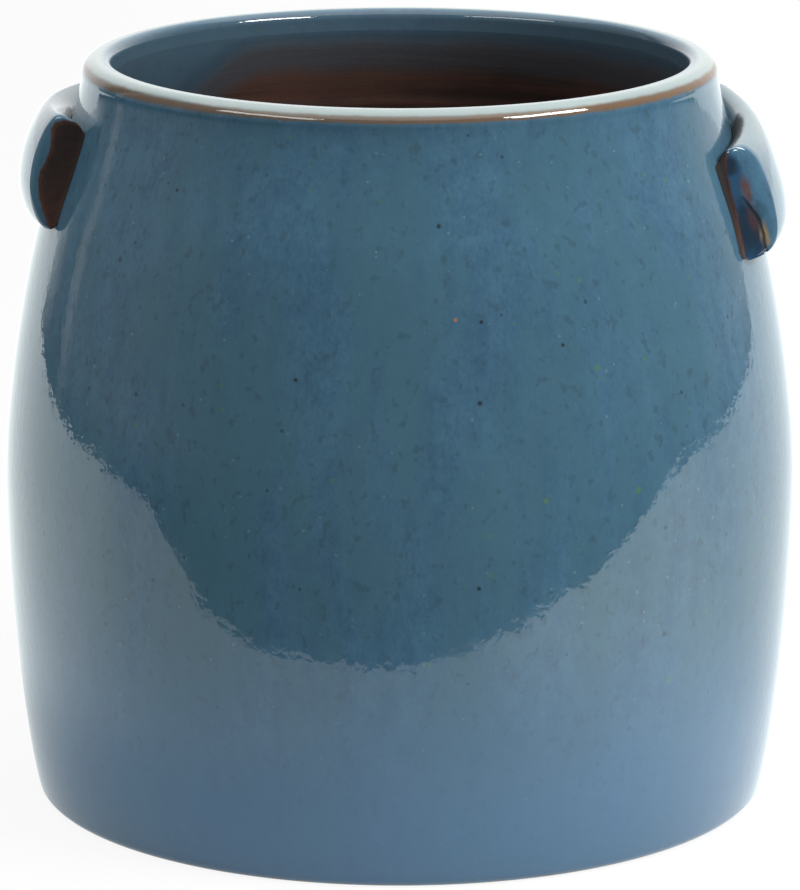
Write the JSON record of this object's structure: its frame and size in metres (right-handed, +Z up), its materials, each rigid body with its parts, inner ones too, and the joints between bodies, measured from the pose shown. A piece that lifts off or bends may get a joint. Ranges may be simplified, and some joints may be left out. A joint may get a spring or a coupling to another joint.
{
  "type": "lug-handled ceramic planter",
  "caption": "Round wide-mouthed stoneware pot with a rounded lip, a swelling belly, solid lug handles on its shoulder and a drain hole, for planting.",
  "frame": {"origin": "on the ground, at the middle of the foot ring", "axes": "+Z up along the pot's own axis; the lugs lie to -X and +X, and -Y is the front that the picture shows"},
  "size_m": [0.2514, 0.2514, 0.2365],
  "materials": {
    "blue_glaze": "high-gloss slate-blue stoneware glaze with fine iron specks, bare brown clay inside",
    "lip_glaze": "high-gloss slate-blue glaze that breaks to brown clay on the outer edge",
    "lug_glaze_left": "high-gloss slate-blue glaze, bare dark clay on the cut ends",
    "lug_glaze_right": "high-gloss slate-blue glaze that breaks to brown along the fold and the edges",
    "bare_clay": "unglazed brown stoneware, slightly rough"
  },
  "bodies": {
    "root": {"pot_wall": "blue_glaze", "floor_disc": "bare_clay", "rim_ring": "lip_glaze", "lug_left": "lug_glaze_left", "lug_right": "lug_glaze_right"}
  },
  "joints": []
}
